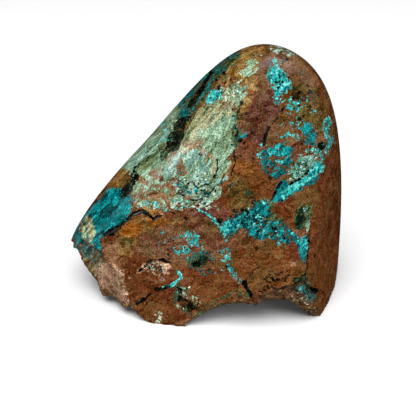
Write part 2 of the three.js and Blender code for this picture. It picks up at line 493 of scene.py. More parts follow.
spot("rust", "lower orange island", (184, 172), 3, 5, 0.5)
specks("rust", "rust in the lower sage", (158, 190), (26, 14), 34, 1.4, 4.0, 41, 0.2)
specks("rust", "rust near the highlight", (197, 150), (12, 10), 10, 1.2, 3.0, 42, 0.0)
specks("rust", "rust beside the turquoise", (226, 96), (14, 12), 18, 1.4, 3.6, 43, 0.1)
specks("rust", "orange in the crackle", (176, 196), (24, 6), 16, 1.2, 2.8, 44, 0.1)

# Rough facets at the lower left.
patch("pink", "pink facet", [(100, 262), (112, 262), (121, 268), (124, 284), (129, 306), (112, 294),
    (98, 282)], 0.45)
patch("cream", "olive facet", [(76, 246), (92, 244), (104, 258), (104, 272), (96, 278), (84, 262)], 0.25)
patch("rust", "swirl beside the ochre", [(99, 248), (108, 240), (117, 244), (117, 262), (106, 267)], 0.5)
streak("cream", "pale line of the swirl", [(113, 243), (108, 251), (105, 263)], 1.8, 0.5, 1.2, 3.0)
streak("cream", "second pale line of the swirl", [(117, 250), (113, 258), (112, 268)], 1.4, 0.3, 1.0, 3.0)

# Dark green and black.
streak("darkgreen", "dark band", [(224, 62), (206, 82), (193, 102), (182, 122), (173, 143), (160, 158)], 16,
    0.0, 9)
streak("darkgreen", "thin end of the dark band", [(168, 148), (158, 155), (147, 161), (135, 168)], 3.4, 0.2,
    2.4, 2.0)
patch("darkgreen", "ground of the vein", [(219, 234), (223, 220), (236, 213), (249, 211), (255, 202),
    (272, 199), (271, 212), (290, 228), (298, 240), (280, 240), (262, 236), (246, 230), (228, 238)], 0.1)
streak("darkgreen", "dark top of the limb", [(232, 54), (214, 68), (200, 84), (189, 102)], 16, 0.3)
streak("darkgreen", "core of the dark band", [(190, 106), (182, 122), (173, 143), (163, 156)], 10, 0.3)
patch("bluegrey", "pale strip of the rectangle", [(301, 208), (311, 207), (310, 222), (308, 234),
    (306, 230), (302, 224)], 1.0, 3.0)
patch("darkgreen", "dark rectangle", [(296, 209), (302, 207), (305, 214), (305, 222), (302, 230),
    (295, 228)], 1.0, 4.0)
specks("darkgreen", "dark grains of the pale strip", (307, 215), (3, 9), 16, 0.5, 1.1, 67, 0.3)
patch("darkgreen", "dark fleck in the fragment", [(247, 190), (254, 192), (256, 204), (248, 205)], 0.2)
spot("darkgreen", "dark eye", (200, 261), 9, 6, 0.9)
patch("darkgreen", "dark low patch", [(175, 284), (186, 286), (188, 300), (198, 308), (188, 315),
    (176, 303)], -0.1)
patch("darkgreen", "dark strip", [(196, 306), (222, 298), (248, 292), (250, 298), (222, 305), (200, 313)],
    -0.12)
patch("darkgreen", "under the right contact", [(292, 282), (306, 276), (309, 286), (300, 290)], 0.4)
streak("black", "black band upper", [(212, 72), (200, 90), (190, 106)], 4, 0.3)
patch("black", "black of the dark band", [(190, 116), (185, 128), (184, 136), (178, 148), (171, 154),
    (165, 150), (169, 138), (174, 127), (182, 115)], 0.1)
streak("black", "black band lower", [(136, 168), (134, 178), (130, 190)], 5, 0.1)
streak("black", "black at the low bend", [(136, 178), (128, 186), (124, 194)], 9, 0.15)
streak("black", "crack over the ochre", [(104, 236), (114, 230), (121, 226), (126, 220), (134, 213),
    (143, 211), (149, 214), (154, 218), (161, 216)], 3.6, 1.0, 2.4)
patch("black", "thick of that crack", [(130, 214), (137, 210), (146, 212), (150, 216), (143, 214),
    (134, 216)])
patch("black", "black by the tip", [(107, 229), (116, 226), (120, 229), (113, 236), (106, 237)], 0.9)
streak("black", "thin crack in the brick", [(283, 107), (277, 119), (270, 128)], 1.3, 1.0)
streak("black", "thick crack in the brick", [(270, 128), (266, 135), (264, 145)], 3.6, 1.0, 2.2)
streak("black", "edge of the sage", [(243, 104), (237, 124), (233, 140), (231, 152)], 5, -0.28)
streak("black", "line under the diagonal", [(272, 199), (277, 190), (281, 182)], 2.4, 1.0)
streak("black", "arc in the tan fragment", [(260, 266), (253, 271), (248, 278), (246, 283)], 1.4, 0.9)
streak("black", "joint", [(245, 282), (248, 290), (251, 297)], 4, 0.9)
streak("black", "contact of the right band", [(309, 232), (307, 262), (306, 284)], 1.5, 0.5)
streak("black", "low edge of the fragment", [(250, 295), (268, 291), (286, 287), (302, 280)], 1.8, 0.7)
streak("black", "line above it", [(266, 288), (284, 283), (302, 277)], 1.0, 0.4)
streak("black", "fan in the fragment", [(258, 286), (266, 277), (274, 270)], 1.1, 0.5)
streak("black", "second of the fan", [(264, 288), (273, 279), (283, 271)], 1.1, 0.5)
streak("black", "third of the fan", [(272, 287), (280, 280), (290, 274)], 1.0, 0.5)
patch("black", "black of the low patch", [(176, 284), (183, 288), (183, 297), (192, 303), (199, 309),
    (188, 313), (178, 303), (180, 294)], 0.1)
streak("black", "crack left of the joint", [(222, 292), (233, 286), (244, 284)], 1.2, 0.5)
streak("black", "line between sage and brick", [(234, 150), (236, 163), (231, 176)], 1.2, 0.4)
streak("black", "black slash", [(137, 304), (144, 299), (151, 294)], 3.6, 1.0, 2.4)
streak("black", "under the hook", [(157, 288), (163, 289), (168, 287)], 4, 0.4)
streak("black", "by the vug", [(138, 271), (143, 272), (148, 270)], 1.8, 1.0)
spot("black", "dark hole", (312, 291), 7, 4)
spot("black", "dot under the maroon", (221, 221), 3, 2.6)
spot("black", "dot by the knot", (321, 145), 4, 4)
spot("black", "pupil of the eye", (196, 263), 4, 3)
specks("black", "trail beside the sage", (237, 128), (8, 26), 22, 0.8, 2.0, 46)
streak("darkgreen", "trail beside the sage", [(242, 104), (238, 118), (235, 130), (238, 143)], 6, -0.02)
specks("teal", "teal in that trail", (239, 126), (7, 26), 14, 0.7, 1.6, 47)
specks("black", "flecks under the ochre top", (222, 78), (10, 12), 18, 0.7, 1.8, 48)
specks("black", "dots of the top turquoise", (279, 80), (8, 16), 22, 0.9, 1.8, 3)
specks("black", "dots of the vein", (247, 218), (24, 12), 36, 0.8, 1.7, 5)
specks("black", "dots of the trail", (272, 232), (24, 7), 14, 0.8, 1.7, 6)
specks("black", "specks of the tan fragment", (276, 280), (24, 10), 46, 0.5, 1.2, 7)
specks("black", "specks of the crackle", (198, 188), (22, 12), 22, 0.6, 1.2, 8)
streak("black", "net of the crackle", [(178, 190), (186, 197), (196, 200), (206, 196), (214, 188)], 1.2,
    0.5)
streak("black", "upper net of the crackle", [(181, 180), (186, 185), (192, 182), (198, 188), (206, 183),
    (212, 189)], 1.1, 0.3)
streak("teal", "teal of the crackle", [(180, 184), (187, 192), (198, 190), (207, 194)], 4.5, 0.2)
specks("teal", "teal spots of the crackle", (193, 186), (22, 12), 22, 0.7, 1.5, 65)
specks("black", "upper right specks", (300, 96), (18, 18), 18, 0.8, 2.4, 9)

# Teal and turquoise.
patch("teal", "teal swirl", [(70, 232), (75, 222), (92, 207), (110, 188), (124, 190), (133, 197),
    (131, 212), (125, 223), (112, 233), (100, 238), (101, 254), (93, 252), (93, 240), (96, 230), (92, 219),
    (85, 217), (79, 223), (80, 234), (85, 243), (87, 250), (77, 244)])
streak("teal", "teal along the limb", [(236, 49), (216, 63), (202, 77), (190, 91), (180, 103)], 6, 0.25)
streak("teal", "inner teal strand", [(222, 68), (208, 82), (200, 96), (190, 110)], 4, 0.0)
streak("bluegrey", "green of the limb", [(184, 108), (168, 132), (150, 150), (134, 164)], 7, 0.15)
streak("teal", "teal on the low limb", [(170, 108), (148, 130), (126, 154)], 3, 0.1)
spot("teal", "teal by the dark band", (183, 113), 4, 6, 0.8)
specks("turquoise", "flecks of the low limb", (166, 127), (7, 12), 10, 0.8, 2.0, 50, 0.4)
specks("white", "white flecks of the limb", (173, 120), (4, 9), 9, 0.6, 1.3, 51, 0.5)
patch("teal", "upper teal", [(303, 123), (312, 121), (317, 134), (314, 146), (305, 144), (302, 132)], 0.35)
patch("teal", "fibrous teal", [(260, 153), (268, 147), (284, 144), (294, 150), (292, 163), (286, 173),
    (277, 179), (268, 173), (260, 164)], 0.2)
patch("teal", "turquoise diagonal ground", [(320, 162), (321, 172), (314, 182), (298, 192), (280, 202),
    (273, 199), (276, 188), (282, 180), (291, 184), (302, 176)])
patch("teal", "vein", [(221, 234), (224, 222), (236, 215), (249, 213), (256, 203), (270, 201), (268, 212),
    (260, 221), (248, 226), (238, 232), (228, 236)], 1.0)
patch("teal", "trailing vein", [(245, 229), (262, 220), (280, 224), (293, 231), (299, 238), (290, 243),
    (280, 238), (263, 241), (252, 237)], 0.3)
patch("teal", "wedge", [(294, 239), (302, 239), (309, 235), (308, 246), (306, 256), (305, 266), (300, 256),
    (297, 248)], 1.0, 2.0)
patch("teal", "tip", [(74, 238), (84, 240), (94, 250), (97, 262), (88, 258), (78, 248)], 0.1)
streak("teal", "arc under the eye", [(191, 266), (199, 271), (208, 274), (214, 272)], 1.6, 0.3)
streak("teal", "arc over the eye", [(189, 259), (196, 253), (208, 254), (213, 260)], 1.6, 0.2)
patch("turquoise", "top turquoise", [(275, 59), (279, 66), (287, 76), (291, 82), (291, 90), (284, 94),
    (276, 102), (273, 99), (274, 87), (269, 84), (268, 74), (272, 66)])
specks("turquoise", "spots below it", (296, 106), (13, 9), 24, 0.7, 1.7, 11)
patch("turquoise", "upper left turquoise", [(206, 103), (207, 96), (213, 90), (222, 90), (222, 98),
    (214, 102)])
specks("turquoise", "green flecks beside it", (236, 90), (7, 6), 10, 0.8, 1.8, 52, 0.3)
streak("turquoise", "pale branch", [(329, 119), (325, 132), (331, 141), (325, 153)], 3.4, 0.35)
patch("turquoise", "knot", [(292, 166), (306, 152), (316, 146), (328, 142), (326, 153), (318, 161),
    (306, 173), (297, 184), (289, 182), (290, 171)], -0.06)
streak("turquoise", "bright diagonal", [(319, 166), (311, 175), (299, 184), (284, 195)], 10, 0.9, 6, 1.6)
specks("turquoise", "flecks of the fibrous teal", (273, 156), (13, 11), 26, 0.7, 1.6, 12)
patch("turquoise", "bright part of the vein", [(221, 234), (225, 222), (238, 219), (242, 226), (236, 232),
    (227, 235)], 0.35)
specks("turquoise", "flecks of the vein", (252, 217), (18, 10), 18, 0.8, 1.9, 13)
specks("turquoise", "flecks of the trail", (274, 233), (24, 7), 12, 0.6, 1.4, 14)
patch("turquoise", "top of the wedge", [(296, 240), (309, 236), (307, 244), (303, 249), (298, 247)], 0.7)
specks("turquoise", "pale spots upper", (194, 239), (8, 7), 40, 0.6, 1.5, 15)
specks("turquoise", "pale spots lower", (182, 250), (7, 4), 24, 0.6, 1.4, 16)
streak("turquoise", "thin diagonal", [(201, 210), (212, 219), (223, 229), (226, 241)], 1.5, 0.4, None, 1.3)
specks("turquoise", "spots in a row", (227, 260), (4, 8), 12, 0.8, 1.7, 17)
streak("turquoise", "dotted trail", [(229, 265), (234, 275), (240, 283)], 1.5, 0.0)
streak("turquoise", "hook", [(162, 287), (169, 286), (176, 282), (181, 277), (178, 271)], 3.6, 1.0, 2.2,
    3.0)
specks("turquoise", "flecks in the brick", (168, 240), (26, 12), 8, 0.5, 1.0, 18)
specks("turquoise", "rim of the sage", (176, 205), (34, 4), 60, 0.6, 1.6, 19)
specks("turquoise", "upper right flecks", (296, 128), (16, 14), 20, 0.5, 1.3, 20)
streak("turquoise", "edge of the low patch", [(184, 286), (180, 293), (184, 300)], 2.2, 0.3)
spot("teal", "green left of the dark hole", (303, 291), 6, 3.5)
spot("teal", "green under the dark hole", (310, 298), 5, 3.5)
spot("turquoise", "glint by the dark hole", (301, 290), 2.4, 1.8)
specks("white", "cream grains of the right strip", (298, 299), (16, 8), 14, 0.5, 1.2, 61, 0.2)
specks("black", "gaps of the right strip", (292, 299), (22, 8), 26, 0.6, 1.4, 62)

# White, cream and beige veins and spots.
streak("pink", "worm line", [(208, 155), (213, 158), (215, 165), (213, 173)], 2.2, 1.0, 1.8, 6.0)
streak("pink", "second worm line", [(203, 150), (205, 157), (206, 163)], 1.7, 1.0, 1.2, 6.0)
streak("black", "side of the worm line", [(217, 160), (217, 168), (214, 177)], 1.2, 0.5)
streak("white", "streaks beside the turquoise", [(224, 99), (231, 90), (241, 82)], 6, -0.02)
patch("darkgreen", "green of the knot", [(290, 176), (297, 163), (306, 160), (309, 166), (303, 176),
    (294, 182)], 0.15)
streak("white", "rays of the knot", [(292, 178), (302, 164), (312, 156)], 8, -0.2)
streak("black", "gaps of the knot", [(291, 183), (300, 180), (308, 170)], 2.4, 0.1)
specks("white", "crackle flecks", (198, 186), (24, 12), 34, 0.5, 1.1, 30)
specks("white", "rim flecks", (178, 206), (34, 3), 34, 0.5, 1.4, 31)
specks("pink", "tip flecks", (92, 248), (10, 8), 12, 0.6, 1.5, 32)
patch("cream", "beige of the tip", [(79, 222), (85, 216), (93, 218), (97, 230), (94, 241), (88, 248),
    (82, 240), (79, 231)], 1.0, 2.0)
streak("teal", "teal through the beige", [(82, 219), (86, 228), (87, 238), (94, 246)], 2.6, 0.6, 1.6, 2.0)
patch("pink", "sugary vug", [(137, 272), (146, 266), (151, 261), (162, 262), (170, 265), (167, 273),
    (152, 273)], 0.16)
specks("white", "sugar of the vug", (157, 268), (9, 3), 22, 0.5, 1.0, 45, 0.3)
specks("black", "gaps of the vug", (156, 267), (10, 3), 18, 0.5, 0.9, 63)
streak("black", "shadow over the vug", [(137, 271), (146, 265), (152, 260), (163, 260), (171, 263)], 2.2,
    0.9)
streak("white", "pale speck at the foot", [(157, 313), (158, 321)], 2.6, 0.5)
streak("white", "pale line of the low patch", [(186, 288), (182, 296), (188, 303)], 1.4, -0.15)
specks("white", "low patch flecks", (188, 303), (10, 8), 20, 0.4, 0.9, 33, 0.2)
specks("bluegrey", "green grains at the crown", (284, 50), (16, 4), 14, 0.6, 1.4, 66)
patch("rust", "brown by the black", [(100, 226), (107, 222), (111, 228), (104, 235)], 0.3)

# The sides that the camera doesn't see: fragments of brown rock set in green and teal, as the
# front is. Each has a kind and a middle in mm.
FRAGMENTS = [
    ("russet", (34, 6, 20)), ("russet", (36, 2, 40)), ("brick", (30, 12, 52)), ("tan", (26, 18, 12)),
    ("brick", (22, 20, 30)), ("russet", (14, 22, 18)), ("sage", (12, 20, 40)), ("maroon", (20, 14, 46)),
    ("olive", (20, 12, 60)), ("ochre", (4, 12, 56)), ("sage", (0, 18, 32)), ("brick", (2, 22, 14)),
    ("tan", (-8, 20, 8)), ("cream", (-8, 16, 28)), ("sage", (-10, 10, 42)), ("russet", (-16, 16, 18)),
    ("ochre", (-20, 10, 28)), ("teal", (-28, 6, 24)), ("teal", (-34, 2, 20)), ("brick", (-26, 12, 12)),
    ("tan", (-14, 0, 3)), ("russet", (10, -4, 5)), ("brick", (24, 4, 4)), ("olive", (0, 8, 3)),
    ("darkgreen", (-4, 15, 36)), ("russet", (34, -8, 8)), ("brick", (16, 0, 68)), ("russet", (30, 12, 36)),
    ("tan", (6, 24, 27)), ("bluegrey", (-2, 14, 45)),
]
FRAGMENT_WANDER = [(9.0, 3.4), (3.6, 1.3)]  # size and reach in mm
FRAGMENT_SHIFT = 47.3
FRAGMENT_LEVEL = 0.8
# The hidden sides' noises: size in mm, and a shift so that they don't line up.
VEIN_NOISE, TURQUOISE_NOISE = (13.0, 5.1), (5.0, 9.7)
CRACK_NOISE, WHITE_NOISE = (8.0, -3.3), (3.1, 2.2)
# Veins run between fragments, where their noise is high. Lengths are in millimetres.
VEIN_WIDTH, VEIN_RARITY = 2.9, 0.1
CRACK_WIDTH, CRACK_VARIES, CRACK_BESIDE = 0.16, 0.25, 0.3
# How each mineral's field lies over the vein's: dark green is wider and turquoise narrower.
DARK_RIM, BRIGHT_CORE, CORE_VARIES = 0.25, 0.35, 0.5
WHITE_VARIES, WHITE_RARITY, WHITE_BY_VEINS = 0.5, 0.62, 0.3
HIDDEN_LEVELS = {"teal": 0.35, "darkgreen": 0.1, "turquoise": 0.2, "black": 0.5, "white": 0.1}


def drifting(p, pattern):
    size, shift = pattern
    return noise(p / size + shift)


def hidden_fields(p):
    """The kinds' fields on the hidden sides, from the nearest fragment at each point."""
    q = p.copy()
    for n, (size, reach) in enumerate(FRAGMENT_WANDER):
        for axis in range(3):
            q[:, axis] += reach * noise(p / size + FRAGMENT_SHIFT * (3 * n + axis + 1))
    middles = np.array([at for _, at in FRAGMENTS], float)
    away = np.linalg.norm(q[:, None] - middles[None], axis=2)
    order = np.argsort(away, axis=1)[:, :2]
    rows = np.arange(len(p))
    inner = (away[rows, order[:, 1]] - away[rows, order[:, 0]]) / 2
    edge_mm = EDGE_PX * PX_MM
    result = {kind: np.full(len(p), -1.0) for kind in KINDS}
    for n, (kind, _) in enumerate(FRAGMENTS):
        own = order[:, 0] == n
        near = (order[:, 1] == n) & ~own
        held = np.clip(inner[own] / edge_mm, 0, 1) * FRAGMENT_LEVEL
        result[kind][own] = np.maximum(result[kind][own], held)
        result[kind][near] = np.maximum(result[kind][near], np.clip(-inner[near] / edge_mm, -1, 0))
    mineral = drifting(p, VEIN_NOISE)
    vein = (VEIN_WIDTH * mineral - VEIN_RARITY - inner) / edge_mm
    half = CRACK_WIDTH + CRACK_VARIES * drifting(p, CRACK_NOISE)
    inside = {
        "teal": vein,
        "darkgreen": vein + DARK_RIM,
        "turquoise": vein - BRIGHT_CORE - CORE_VARIES * drifting(p, TURQUOISE_NOISE),
        "black": (half - np.abs(inner - CRACK_BESIDE)) / edge_mm,
        "white": WHITE_VARIES * drifting(p, WHITE_NOISE) - WHITE_RARITY + WHITE_BY_VEINS * mineral,
    }
    for kind, value in inside.items():
        result[kind] = np.maximum(result[kind], np.clip(value, -1, HIDDEN_LEVELS[kind]))
    return result


# The camera's marks give way to the hidden sides' where the stone turns away: both are cosines.
LAST_SEEN, FADE = 0.06, 0.24
to_eye = EYE - points
to_eye /= np.linalg.norm(to_eye, axis=1, keepdims=True)
facing_eye = np.einsum("ij,ij->i", normals, to_eye)
unseen = np.clip((LAST_SEEN - facing_eye) / FADE, 0, 1)
unseen = unseen * unseen * (3 - 2 * unseen)
beyond = hidden_fields(points)
for kind in KINDS:
    fields[kind] = fields[kind] * (1 - unseen) + beyond[kind] * unseen

# The underside is stained dark, from this slope on.
# Painted shade: broken faces that look down are darkened to near black from this slope on, which stands in
# for the shadow under the stone and in its arch.
UNDER_SHADE_FROM, UNDER_SHADE_FADE = 0.35, 0.4
under = np.clip((-normals[:, 2] - UNDER_SHADE_FROM) / UNDER_SHADE_FADE, 0, 1) * broken

# The wider cracks are cut into the stone, and the sugary vug's grains stand in it.
CRACK_DEPTH = 0.28
CRACK_STEEPNESS = 2.0
GRAIN_HEIGHT = 0.3
GRAIN_SIZE = 0.55
outward = points - HEART
outward /= np.linalg.norm(outward, axis=1, keepdims=True)
crack = np.clip(fields["cut"] * CRACK_STEEPNESS, 0, 1) * (1 - broken)
sugar = pitted * np.maximum(0, noise(points / GRAIN_SIZE)) * GRAIN_HEIGHT
points = points + outward * (sugar - CRACK_DEPTH * crack)[:, None]
points[:, 2] = np.maximum(points[:, 2], 0)


def stone_mesh():
    mesh = bpy.data.meshes.new("stone_skin")
    place = (points + TO_ORIGIN) * MM
    mesh.from_pydata(place.tolist(), [], triangles.tolist())
    mesh.polygons.foreach_set("use_smooth", np.ones(len(triangles), bool))
    layers = {kind: fields[kind] for kind in KINDS}
    # The under layer carries the painted shade of the broken faces that look down.
    layers.update(broken=broken, under=under)
    for name, values in layers.items():
        layer = mesh.attributes.new(name, "FLOAT", "POINT")
        layer.data.foreach_set("value", values.astype(np.float32))
    uv = mesh.uv_layers.new(name="OFBake")
    uv.data.foreach_set("uv", corner_maps.reshape(-1).astype(np.float32))
    mesh.update()
    return mesh


class Nodes:
    """Short calls for building the nodes of a material or a world."""

    def __init__(self, owner):
        self.tree = owner.node_tree
        self.tree.nodes.clear()

    def add(self, kind, inputs=None, **settings):
        """A node with its settings made, and its inputs linked or set."""
        node = self.tree.nodes.new(kind)
        for name, value in settings.items():
            setattr(node, name, value)
        for socket, value in (inputs or {}).items():
            if isinstance(value, bpy.types.NodeSocket):
                self.tree.links.new(value, node.inputs[socket])
            else:
                node.inputs[socket].default_value = value
        return node

    def field(self, name):
        return self.add("ShaderNodeAttribute", attribute_name=name).outputs["Fac"]

    def math(self, operation, a, b=0.0, clamp=False):
        return self.add("ShaderNodeMath", {0: a, 1: b}, operation=operation, use_clamp=clamp).outputs[0]

    def between(self, value, low, high, start=0.0, stop=1.0):
        """A smooth step from start to stop, as the value goes from low to high."""
        inputs = {"Value": value, "From Min": low, "From Max": high, "To Min": start, "To Max": stop}
        return self.add("ShaderNodeMapRange", inputs, interpolation_type="SMOOTHSTEP").outputs["Result"]

    def mix(self, amount, a, b):
        return self.add("ShaderNodeMix", {"Factor": amount, 6: a, 7: b}, data_type="RGBA").outputs[2]

    def shares(self, *parts):
        """The sum of values, each times its share."""
        total = None
        for share, value in parts:
            part = self.math("MULTIPLY", value, share)
            total = part if total is None else self.math("ADD", total, part)
        return total

    def noise(self, where, size_mm, detail, roughness, distortion):
        inputs = {"Vector": where, "Scale": 1 / size_mm, "Detail": detail,
                  "Roughness": roughness, "Distortion": distortion}
        return self.add("ShaderNodeTexNoise", inputs).outputs["Fac"]

    def ridge(self, value, low, high):
        """1 where a noise is at its middle, and 0 from a little away from there."""
        away = self.math("ABSOLUTE", self.math("SUBTRACT", value, 0.5))
        return self.between(away, low, high, 1.0, 0.0)

    def scaled(self, where, by):
        return self.add("ShaderNodeVectorMath", {0: where, 1: by}, operation="MULTIPLY").outputs[0]

    def times(self, colour, factor):
        inputs = {0: colour, "Scale": factor}
        return self.add("ShaderNodeVectorMath", inputs, operation="SCALE").outputs[0]

    def warped(self, where, size_mm, reach_mm):
        """Places pushed about by noise, which keeps cells from looking even."""
        inputs = {"Vector": where, "Scale": 1 / size_mm, "Detail": 2.0}
        push = self.add("ShaderNodeTexNoise", inputs).outputs["Color"]
        inputs = {0: push, 1: (2 * reach_mm,) * 3, 2: where}
        return self.add("ShaderNodeVectorMath", inputs, operation="MULTIPLY_ADD").outputs[0]

    def drawn_out(self, where, turn, by):
        """Places drawn out along Z turned about Y, so that a pattern on them runs that way."""
        inputs = {"Vector": where, "Rotation": (0, math.radians(turn), 0), "Scale": (1, 1, by)}
        return self.add("ShaderNodeMapping", inputs, vector_type="TEXTURE").outputs["Vector"]


def srgb(r, g, b):
    """A colour given as the eye reads it, from 0 to 255, as light."""
    channels = []
    for c in (r, g, b):
        c = c / 255
        channels.append(c / 12.92 if c <= 0.04045 else ((c + 0.055) / 1.055) ** 2.4)
    return (*channels, 1.0)


# The studio light is brighter than what makes white paper white, by one over this.
PAPER_LIGHT = 0.89
# The light that the polish throws back everywhere, which the eye adds to the stone's own colour.
VEIL = 0.0045
DARKEST = 0.0005


def seen(colour):
    """The stone's own colour where it looks like this one in the studio."""
    r, g, b, _ = srgb(*colour)
    return (*(max(c * PAPER_LIGHT - VEIL, DARKEST) for c in (r, g, b)), 1.0)


# Each kind's dark, middle, light and stain colour, as seen in the studio. They were set one by
# one, with colours measured in the photograph as a guide.
PALETTE = {
    "host": ((68, 40, 23), (104, 64, 38), (138, 96, 64), (118, 76, 46)),
    "russet": ((74, 38, 18), (106, 59, 31), (126, 80, 48), (88, 44, 24)),
    "tan": ((82, 46, 22), (112, 66, 34), (136, 88, 48), (98, 62, 28)),
    "brick": ((74, 40, 27), (108, 66, 46), (134, 100, 72), (120, 84, 58)),
    "maroon": ((66, 34, 27), (100, 60, 50), (120, 88, 70), (84, 44, 34)),
    "ochre": ((72, 54, 24), (150, 114, 58), (186, 156, 98), (124, 84, 36)),
    "olive": ((54, 44, 19), (102, 82, 42), (128, 112, 60), (86, 60, 28)),
    "sage": ((62, 80, 46), (138, 174, 140), (176, 208, 180), (116, 126, 76)),
    "cream": ((86, 78, 42), (156, 158, 114), (196, 202, 160), (122, 112, 66)),
    "bluegrey": ((62, 96, 82), (118, 162, 150), (178, 212, 196), (112, 146, 104)),
    "rust": ((76, 42, 24), (134, 88, 58), (160, 118, 84), (112, 84, 48)),
    "orange": ((112, 60, 16), (156, 90, 30), (186, 120, 50), (136, 84, 28)),
    "pink": ((104, 66, 44), (194, 144, 114), (228, 190, 160), (160, 130, 94)),
    "darkgreen": ((5, 9, 8), (26, 38, 28), (92, 108, 66), (8, 60, 54)),
    "teal": ((1, 38, 38), (3, 116, 118), (30, 158, 160), (2, 72, 74)),
    "turquoise": ((3, 70, 70), (44, 186, 180), (130, 236, 228), (4, 132, 134)),
    "white": ((96, 104, 66), (178, 196, 164), (232, 236, 214), (140, 176, 146)),
    "black": ((4, 5, 4), (14, 14, 12), (38, 42, 30), (8, 24, 20)),
}
# Kinds of host rock run into each other; minerals have crisp, ragged edges. Each kind has the
# share by which its edge is broken up and the softness of that edge.
EDGES = {
    "russet": (1.0, 0.2), "tan": (1.0, 0.2), "brick": (1.2, 0.25), "maroon": (1.2, 0.3),
    "ochre": (1.3, 0.3), "olive": (1.3, 0.35), "sage": (1.5, 0.06), "cream": (1.6, 0.14),
    "bluegrey": (1.5, 0.08), "rust": (1.2, 0.08), "orange": (0.9, 0.5), "pink": (1.4, 0.2),
    "darkgreen": (1.7, 0.06), "teal": (0.8, 0.06), "turquoise": (0.7, 0.04), "white": (0.7, 0.04),
    "black": (0.3, 0.05),
}
FLOWING = {"sage", "cream", "bluegrey", "darkgreen", "teal"}
CHIPPED = {"turquoise", "white", "black"}
CHIPPED_EDGES = CHIPPED | {"teal"}
# Hair-fine lines through a kind: how strong the dark ones and the pale ones are.
LINES = {
    "sage": (0.8, 0.6), "bluegrey": (0.6, 0.8), "cream": (0.45, 0.4), "teal": (0.8, 0.4),
    "turquoise": (0.4, 0.3), "darkgreen": (0.4, 0.6), "ochre": (0.8, 0.3), "olive": (0.6, 0.2),
    "brick": (0.5, 0.0), "russet": (0.4, 0.3), "tan": (0.6, 0.2), "maroon": (0.5, 0.0),
    "white": (0.8, 0.0), "host": (0.5, 0.0), "rust": (0.4, 0.0),
}
# The way the green runs, along the left bevel, and the way the brown rock is banded: the turn
# about Y in degrees, and how far the pattern is drawn out along it.
GREEN_RUN = (36.0, 3.6)
ROCK_RUN = (74.0, 1.8)


# Noises: size in mm, detail, roughness and distortion.
NOISES = {
    "rock": (2.4, 9, 0.66, 0.8),
    "rock stain": (3.4, 8, 0.66, 0.6),
    "rock edges": (2.4, 8, 0.7, 0.9),
    "rock lines": (3.2, 7, 0.62, 1.2),
    "green": (1.5, 9, 0.68, 0.9),
    "green stain": (3.0, 8, 0.62, 0.6),
    "pale lines": (1.7, 6, 0.6, 1.6),
    "drift": (6.5, 3, 0.5, 0.8),
    "grainy": (0.7, 4, 0.75, 0.4),
    "fine": (0.36, 2, 0.7, 0.0),
    "grit": (0.34, 2, 0.8, 0.0),
}
CHIP_SIZE, FLAKE_SIZE = 0.95, 0.45
CHIP_WARP = (0.8, 0.5)  # size and reach in mm of what makes the chips uneven
# The levels of a noise between which a kind's middle colour gives way to its other three.
STAINED, DARKER, LIGHTER = (0.5, 0.56), (0.43, 0.475), (0.52, 0.57)
# How much less of its dark and light colours a kind shows.
PLAINER = {"turquoise": (0.03, 0.01)}
# The brown rock drifts to olive and to red over some millimetres: the colour, the levels of the
# drift noise between which it comes or goes, and its shares at the two.
DRIFTS = [
    ((100, 84, 42), (0.53, 0.66), (0.0, 0.42)),
    ((126, 62, 34), (0.34, 0.47), (0.4, 0.0)),
]
# Grains of the host rock: size in mm, how rare, and their colour.
ROCK_GRAINS = [
    (0.9, 0.84, (26, 18, 12)),
    (0.5, 0.76, (150, 98, 56)),
    (0.45, 0.7, (34, 22, 14)),
    (1.5, 0.9, (22, 20, 15)),
]
ROCK_GRAIN_SHARE = 0.8
# Broken rock is granular, with dark gaps between pale grains. Some kinds show through it more.
CRUMB_DARK, CRUMB_MIDDLE, CRUMB_LIGHT = (38, 25, 13), (124, 86, 48), (184, 152, 92)
CRUMB_GAP = (26, 18, 11)
CRUMB_SHARE = 0.52
SPARED_PINK, SPARED_TEAL = 0.3, 0.4
# Painted shade: the near-black laid over broken faces that look down, and how far it covers them.
UNDER_SHADE_COLOUR, UNDER_SHADE_SHARE = (18, 12, 8), 0.92
GRIT = 0.54  # how far the finest grains stand out in darkness and lightness
SHEEN = 0.22  # the level of what the polish mirrors, where 0.5 is glass
GLOSS = (0.16, 0.3)  # the polish's roughness, from the smoothest rock to the dullest
BROKEN_DULLS = 0.5
CRUMB_HEIGHT, BLACK_SINKS = 0.9, 0.12  # in mm


class Patterns:
    """The noises, lines and chips that the stone's colours and relief are made of."""

    def __init__(self, n):
        self.here = n.scaled(n.add("ShaderNodeTexCoord").outputs["Object"], (1 / MM,) * 3)
        along_green = n.drawn_out(self.here, *GREEN_RUN)
        self.rock = n.noise(n.drawn_out(self.here, *ROCK_RUN), *NOISES["rock"])
        self.green = n.noise(along_green, *NOISES["green"])
        self.green_stain = n.noise(along_green, *NOISES["green stain"])
        self.rock_stain = n.noise(self.here, *NOISES["rock stain"])
        self.rock_edges = n.noise(self.here, *NOISES["rock edges"])
        self.grainy = n.noise(self.here, *NOISES["grainy"])
        fine = n.noise(self.here, *NOISES["fine"])
        self.warped = n.warped(self.here, *CHIP_WARP)
        chip, self.chip_tone, chip_edge = chips(n, self.warped, CHIP_SIZE)
        flake, self.flake_tone, flake_edge = chips(n, self.warped, FLAKE_SIZE)
        self.chance = n.shares((0.55, chip), (0.45, flake))
        self.mottled = n.shares((0.7, self.rock), (0.3, fine))
        self.flowing = n.shares((0.72, self.green), (0.28, fine))
        tone = n.shares((0.15, self.chip_tone), (0.15, self.flake_tone), (0.3, self.grainy))
        self.chipped = n.math("ADD", tone, 0.2)
        self.flow_lines = n.ridge(self.green, 0.003, 0.016)
        self.rock_lines = n.ridge(n.noise(self.here, *NOISES["rock lines"]), 0.001, 0.006)
        self.pale_lines = n.ridge(n.noise(along_green, *NOISES["pale lines"]), 0.003, 0.013)
        wide_gaps = n.between(chip_edge, 0.02, 0.1, 1.0, 0.0)
        self.gaps = n.math("MAXIMUM", wide_gaps, n.between(flake_edge, 0.0, 0.12, 0.7, 0.0))


